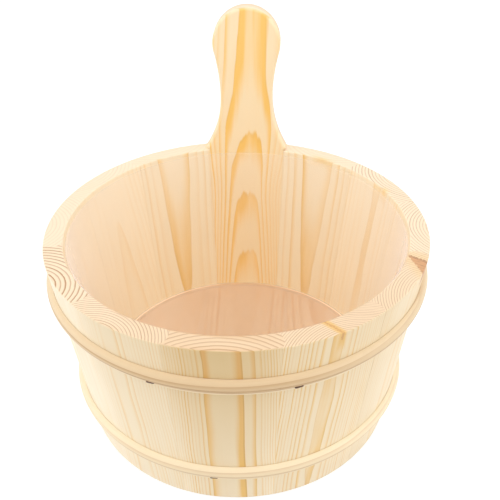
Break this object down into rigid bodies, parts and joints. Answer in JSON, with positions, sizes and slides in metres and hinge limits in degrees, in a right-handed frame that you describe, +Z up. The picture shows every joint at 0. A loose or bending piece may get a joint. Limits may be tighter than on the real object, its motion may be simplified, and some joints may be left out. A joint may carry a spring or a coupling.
{
  "type": "sauna bucket",
  "caption": "Coopered pine bucket with a long stave shaped as an upright handle, bent wooden hoops stapled round the outside and a translucent plastic liner that lifts out.",
  "frame": {"origin": "middle of the overall width and depth, on the plane of the staves' feet; the bucket's own axis is 4.6 mm in front of it", "axes": "+Z up along the bucket's axis, +Y towards the handle, +X to the right seen from the side opposite the handle"},
  "size_m": [0.2434, 0.2526, 0.2351],
  "materials": {
    "pine": "sanded bare pine",
    "handle_pine": "sanded bare pine with amber grain",
    "board_pine": "planed bare pine",
    "hoop_wood": "smooth bent strip, grain along its length",
    "staple_steel": "dark steel wire",
    "liner_plastic": "translucent, faintly pink"
  },
  "bodies": {
    "bucket": {"handle_stave": "handle_pine", "stave_01": "pine", "stave_02": "pine", "stave_03": "pine", "stave_04": "pine", "stave_05": "pine", "stave_06": "pine", "stave_07": "pine", "stave_08": "pine", "stave_09": "pine", "stave_10": "pine", "stave_11": "pine", "bottom_board_1": "board_pine", "bottom_board_2": "board_pine", "bottom_board_3": "board_pine", "upper_hoop": "hoop_wood", "lower_hoop": "hoop_wood", "upper_hoop_staple_1": "staple_steel", "upper_hoop_staple_2": "staple_steel", "upper_hoop_staple_3": "staple_steel", "upper_hoop_staple_4": "staple_steel", "upper_hoop_staple_5": "staple_steel", "upper_hoop_staple_6": "staple_steel", "lower_hoop_staple_1": "staple_steel", "lower_hoop_staple_2": "staple_steel", "lower_hoop_staple_3": "staple_steel", "lower_hoop_staple_4": "staple_steel", "lower_hoop_staple_5": "staple_steel", "lower_hoop_staple_6": "staple_steel", "lower_hoop_staple_7": "staple_steel"},
    "liner": {"plastic_liner": "liner_plastic"}
  },
  "joints": [
    {"name": "liner_lift", "type": "slide", "parent": "bucket", "child": "liner", "axis": [0, 0, 1], "range_m": [0, 0.13]}
  ]
}
